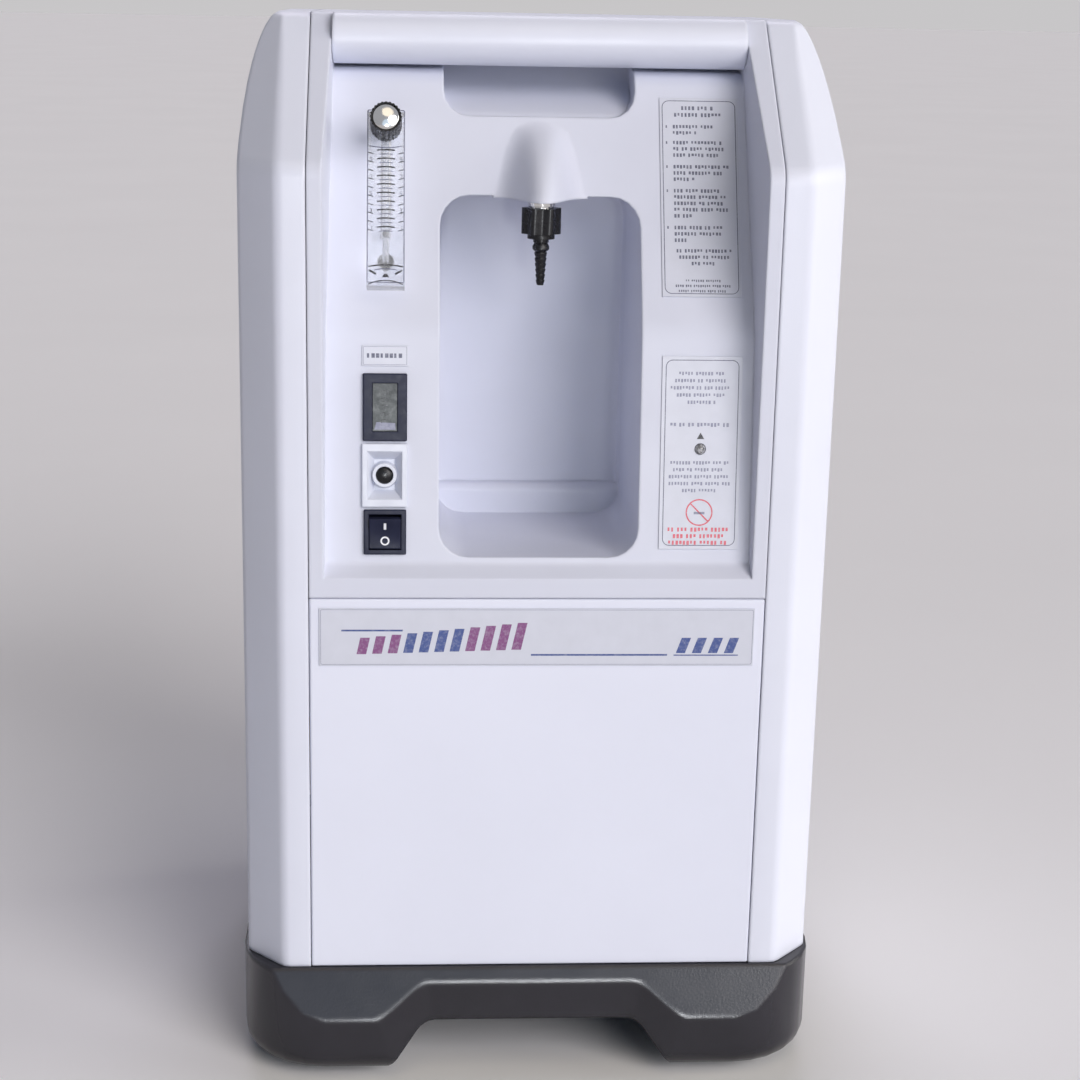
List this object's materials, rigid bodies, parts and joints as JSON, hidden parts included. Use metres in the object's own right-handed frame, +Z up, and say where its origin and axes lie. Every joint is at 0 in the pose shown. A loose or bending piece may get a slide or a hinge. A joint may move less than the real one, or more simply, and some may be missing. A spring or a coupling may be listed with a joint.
{
  "type": "oxygen concentrator",
  "caption": "Upright oxygen concentrator: pale cabinet on a dark base with hidden casters, leaning control panel, flowmeter, rocker switch, bottle niche and outlet barb.",
  "frame": {"origin": "on the floor under the middle of the base", "axes": "+Z up, the control panel faces -Y, +X is the viewer's right when facing the panel"},
  "size_m": [0.389, 0.368, 0.699],
  "materials": {
    "cabinet": "satin moulded, faintly textured",
    "cabinet_panel": "satin",
    "base_plastic": "leather grain moulding",
    "black_plastic": "semi-gloss",
    "navy_plastic": "semi-gloss",
    "bezel_plastic": "satin",
    "acrylic": "clear cast acrylic",
    "lcd": "display behind a clear window",
    "chrome": "polished",
    "steel": "zinc plated",
    "aluminium": "as cast and turned",
    "copper": "drawn copper tube",
    "label": "printed film",
    "rubber": "matte",
    "foam": "open-cell foam",
    "hose": "silicone hose",
    "circuit": "solder-masked board"
  },
  "bodies": {
    "cabinet": {"base": "base_plastic", "left_side_shell": "cabinet", "right_side_shell": "cabinet", "lower_front_panel": "cabinet_panel", "control_panel": "cabinet", "top_cover": "cabinet", "rear_panel": "cabinet", "flowmeter_body": "acrylic", "hour_meter_case": "navy_plastic", "hour_meter_window": "lcd", "breaker_bezel": "bezel_plastic", "switch_bezel": "navy_plastic", "status_light": "acrylic", "name_plate": "label", "serial_label": "label", "alarm_label": "label", "instruction_label": "label", "outlet_nipple": "chrome", "intake_grille": "base_plastic", "exhaust_grille": "base_plastic", "cord_gland": "black_plastic", "chassis_plate": "steel", "upper_shelf": "steel", "compressor_motor": "aluminium", "compressor_head_left": "aluminium", "compressor_head_right": "aluminium", "cooling_coil": "copper", "cooling_fan_frame": "black_plastic", "sieve_bed_left": "aluminium", "sieve_bed_right": "aluminium", "product_tank": "aluminium", "valve_manifold": "aluminium", "intake_silencer": "black_plastic", "product_hose": "hose", "control_board": "circuit", "transformer": "steel", "motor_capacitor": "aluminium"},
    "flow_knob": {"flowmeter_knob": "black_plastic", "flowmeter_knob_cap": "chrome", "flowmeter_stem": "steel"},
    "flow_float": {"flowmeter_float": "black_plastic"},
    "breaker_push": {"breaker_button": "black_plastic"},
    "rocker": {"switch_rocker": "navy_plastic"},
    "filter": {"intake_filter": "foam"},
    "barb": {"outlet_barb": "black_plastic"},
    "nut": {"outlet_nut": "black_plastic"},
    "crankshaft": {"compressor_shaft": "aluminium"},
    "fan": {"cooling_fan_rotor": "black_plastic"},
    "front_left_swivel": {"caster_front_left_fork": "steel", "caster_front_left_axle": "steel"},
    "front_left_roller": {"caster_front_left_wheel": "rubber"},
    "front_right_swivel": {"caster_front_right_fork": "steel", "caster_front_right_axle": "steel"},
    "front_right_roller": {"caster_front_right_wheel": "rubber"},
    "rear_left_swivel": {"caster_rear_left_fork": "steel", "caster_rear_left_axle": "steel"},
    "rear_left_roller": {"caster_rear_left_wheel": "rubber"},
    "rear_right_swivel": {"caster_rear_right_fork": "steel", "caster_rear_right_axle": "steel"},
    "rear_right_roller": {"caster_rear_right_wheel": "rubber"}
  },
  "joints": [
    {"name": "knob_turn", "type": "hinge", "parent": "cabinet", "child": "flow_knob", "pos_m": [-0.0989, -0.09256, 0.6215], "axis": [0, -0.9176, 0.3975], "range_deg": [0, 900]},
    {"name": "float_rise", "type": "slide", "parent": "cabinet", "child": "flow_float", "axis": [0, 0.3975, 0.9176], "range_m": [0, 0.058]},
    {"name": "breaker_press", "type": "slide", "parent": "cabinet", "child": "breaker_push", "axis": [0, 0.9948, -0.1021], "range_m": [0, 0.003], "stiffness_N_per_m": 200},
    {"name": "rocker_tip", "type": "hinge", "parent": "cabinet", "child": "rocker", "pos_m": [-0.0989, -0.1549, 0.3764], "axis": [-1, 0, 0], "range_deg": [0, 20]},
    {"name": "filter_slide", "type": "slide", "parent": "cabinet", "child": "filter", "axis": [0, 1, 0], "range_m": [0, 0.03]},
    {"name": "barb_drop", "type": "slide", "parent": "cabinet", "child": "barb", "axis": [0, 0, -1], "range_m": [0, 0.0071]},
    {"name": "nut_turn", "type": "hinge", "parent": "barb", "child": "nut", "pos_m": [0, -0.1215, 0.573], "axis": [0, 0, 1], "range_deg": [0, 1800]},
    {"name": "crankshaft_spin", "type": "hinge", "parent": "cabinet", "child": "crankshaft", "pos_m": [0, 0.03, 0.155], "axis": [1, 0, 0], "continuous": true},
    {"name": "fan_spin", "type": "hinge", "parent": "cabinet", "child": "fan", "pos_m": [0, 0.1335, 0.171], "axis": [0, 1, 0], "continuous": true},
    {"name": "front_left_swivel_turn", "type": "hinge", "parent": "cabinet", "child": "front_left_swivel", "pos_m": [-0.145, -0.128, 0.0587], "axis": [0, 0, 1], "continuous": true},
    {"name": "front_left_wheel_roll", "type": "hinge", "parent": "front_left_swivel", "child": "front_left_roller", "pos_m": [-0.145, -0.116, 0.024], "axis": [1, 0, 0], "continuous": true},
    {"name": "front_right_swivel_turn", "type": "hinge", "parent": "cabinet", "child": "front_right_swivel", "pos_m": [0.145, -0.128, 0.0587], "axis": [0, 0, 1], "continuous": true},
    {"name": "front_right_wheel_roll", "type": "hinge", "parent": "front_right_swivel", "child": "front_right_roller", "pos_m": [0.145, -0.116, 0.024], "axis": [1, 0, 0], "continuous": true},
    {"name": "rear_left_swivel_turn", "type": "hinge", "parent": "cabinet", "child": "rear_left_swivel", "pos_m": [-0.145, 0.128, 0.0587], "axis": [0, 0, 1], "continuous": true},
    {"name": "rear_left_wheel_roll", "type": "hinge", "parent": "rear_left_swivel", "child": "rear_left_roller", "pos_m": [-0.145, 0.14, 0.024], "axis": [1, 0, 0], "continuous": true},
    {"name": "rear_right_swivel_turn", "type": "hinge", "parent": "cabinet", "child": "rear_right_swivel", "pos_m": [0.145, 0.128, 0.0587], "axis": [0, 0, 1], "continuous": true},
    {"name": "rear_right_wheel_roll", "type": "hinge", "parent": "rear_right_swivel", "child": "rear_right_roller", "pos_m": [0.145, 0.14, 0.024], "axis": [1, 0, 0], "continuous": true}
  ],
  "couplings": [
    {"joint": "barb_drop", "follows": "nut_turn", "m_per_rad": 0.0002246}
  ]
}
